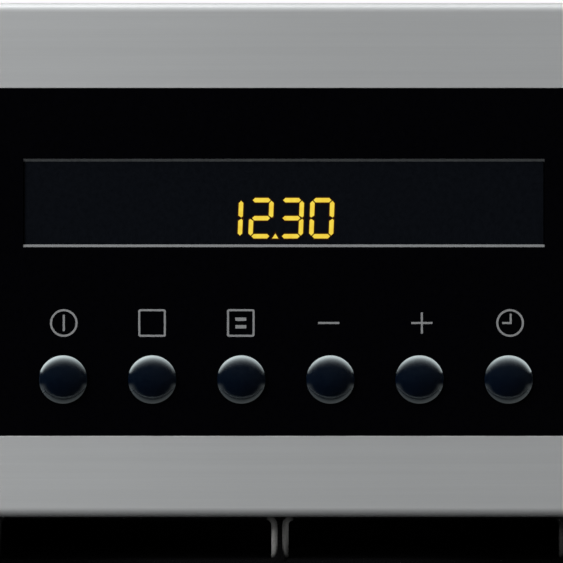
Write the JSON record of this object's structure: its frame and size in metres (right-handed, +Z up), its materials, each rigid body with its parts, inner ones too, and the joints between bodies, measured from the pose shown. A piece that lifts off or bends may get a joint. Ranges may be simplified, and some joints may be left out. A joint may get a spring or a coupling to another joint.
{
  "type": "built-in oven",
  "caption": "Built-in electric oven with a steel control fascia, glossy display insert, domed push buttons, slotted air outlet and a drop-down glass door.",
  "frame": {"origin": "middle of the base on which the oven rests: centreline, mid-depth of the chassis, underside", "axes": "+Z up, front with the controls and the door towards -Y, +X to the right seen from the front"},
  "size_m": [0.595, 0.618, 0.597],
  "materials": {
    "stainless_front": "fine horizontal brushing",
    "handle_steel": "brushed along the bar",
    "gloss_black": "mirror gloss",
    "button_black": "mirror gloss",
    "grille_black": "satin gloss",
    "smoked_lens": "smoked and glossy",
    "lens_edge": "polished bevel",
    "galvanised": "galvanised sheet",
    "black_enamel": "black enamel",
    "cavity_enamel": "speckled dark enamel",
    "wire_chrome": "bright plated wire",
    "heater": "heat-tinted tube",
    "bare_steel": "plated steel",
    "motor_steel": "zinc-plated motor",
    "fan_metal": "plain sheet",
    "wool": "mineral wool",
    "seal": "braided silicone",
    "door_glass": "dark printed glass",
    "clear_glass": "clear float glass",
    "door_sheet": "black painted sheet",
    "door_plastic": "heat-resistant black",
    "black_plastic": "fine grain",
    "inner_plastic": "plain",
    "circuit_board": "solder mask"
  },
  "bodies": {
    "chassis": {"air_duct": "galvanised", "base_pan": "galvanised", "blower_housing": "black_plastic", "blower_motor": "motor_steel", "button_carrier": "inner_plastic", "cavity_back": "cavity_enamel", "cavity_wrapper": "cavity_enamel", "control_board": "circuit_board", "control_fascia": "stainless_front", "control_insert": "gloss_black", "convection_motor": "motor_steel", "display_lens": "smoked_lens", "display_module": "inner_plastic", "display_trim": "lens_edge", "door_gasket": "seal", "duct_plate": "black_enamel", "fan_baffle": "cavity_enamel", "fascia_end_caps": "black_plastic", "floor_element": "heater", "front_frame": "black_enamel", "grill_element": "heater", "hinge_arms": "bare_steel", "hinge_pins": "bare_steel", "hinge_receivers": "bare_steel", "inlet_bush": "black_plastic", "insulation": "wool", "lamp_bulb": "clear_glass", "lamp_holder": "bare_steel", "lamp_lens": "clear_glass", "outlet_grille": "grille_black", "power_board": "circuit_board", "rear_panel": "galvanised", "ring_element": "heater", "shelf_ladders": "wire_chrome", "side_panel_left": "galvanised", "side_panel_right": "galvanised", "temperature_probe": "bare_steel", "terminal_block": "inner_plastic", "top_cover": "galvanised"},
    "door": {"door_outer_glass": "door_glass", "door_middle_glass": "clear_glass", "door_inner_glass": "clear_glass", "door_channels": "door_sheet", "door_upper_rail": "door_plastic", "door_lower_rail": "door_plastic", "handle_bar": "handle_steel", "handle_posts": "handle_steel", "handle_screws": "bare_steel", "hinge_cases": "bare_steel", "hinge_springs": "bare_steel"},
    "convection_fan": {"convection_fan": "fan_metal"},
    "blower_wheel": {"blower_wheel": "fan_metal"},
    "wire_shelf": {"wire_shelf": "wire_chrome"},
    "baking_tray": {"baking_tray": "cavity_enamel"},
    "button_power": {"button_power": "button_black"},
    "button_function": {"button_function": "button_black"},
    "button_program": {"button_program": "button_black"},
    "button_minus": {"button_minus": "button_black"},
    "button_plus": {"button_plus": "button_black"},
    "button_clock": {"button_clock": "button_black"}
  },
  "joints": [
    {"name": "door_hinge", "type": "hinge", "parent": "chassis", "child": "door", "pos_m": [0, -0.287, 0.03], "axis": [1, 0, 0], "range_deg": [0, 90], "stiffness_Nm_per_rad": 8, "springref_deg": -22.92},
    {"name": "convection_fan_spin", "type": "hinge", "parent": "chassis", "child": "convection_fan", "pos_m": [0, 0.15, 0.248], "axis": [0, 1, 0], "continuous": true},
    {"name": "blower_spin", "type": "hinge", "parent": "chassis", "child": "blower_wheel", "pos_m": [0, 0.06, 0.4995], "axis": [1, 0, 0], "continuous": true},
    {"name": "shelf_slide", "type": "slide", "parent": "chassis", "child": "wire_shelf", "axis": [0, -1, 0], "range_m": [0, 0.018]},
    {"name": "tray_slide", "type": "slide", "parent": "chassis", "child": "baking_tray", "axis": [0, -1, 0], "range_m": [0, 0.018]},
    {"name": "button_power_press", "type": "slide", "parent": "chassis", "child": "button_power", "axis": [0, 1, 0], "range_m": [0, 0.0012], "stiffness_N_per_m": 800, "springref_m": -0.0005},
    {"name": "button_function_press", "type": "slide", "parent": "chassis", "child": "button_function", "axis": [0, 1, 0], "range_m": [0, 0.0012], "stiffness_N_per_m": 800, "springref_m": -0.0005},
    {"name": "button_program_press", "type": "slide", "parent": "chassis", "child": "button_program", "axis": [0, 1, 0], "range_m": [0, 0.0012], "stiffness_N_per_m": 800, "springref_m": -0.0005},
    {"name": "button_minus_press", "type": "slide", "parent": "chassis", "child": "button_minus", "axis": [0, 1, 0], "range_m": [0, 0.0012], "stiffness_N_per_m": 800, "springref_m": -0.0005},
    {"name": "button_plus_press", "type": "slide", "parent": "chassis", "child": "button_plus", "axis": [0, 1, 0], "range_m": [0, 0.0012], "stiffness_N_per_m": 800, "springref_m": -0.0005},
    {"name": "button_clock_press", "type": "slide", "parent": "chassis", "child": "button_clock", "axis": [0, 1, 0], "range_m": [0, 0.0012], "stiffness_N_per_m": 800, "springref_m": -0.0005}
  ]
}
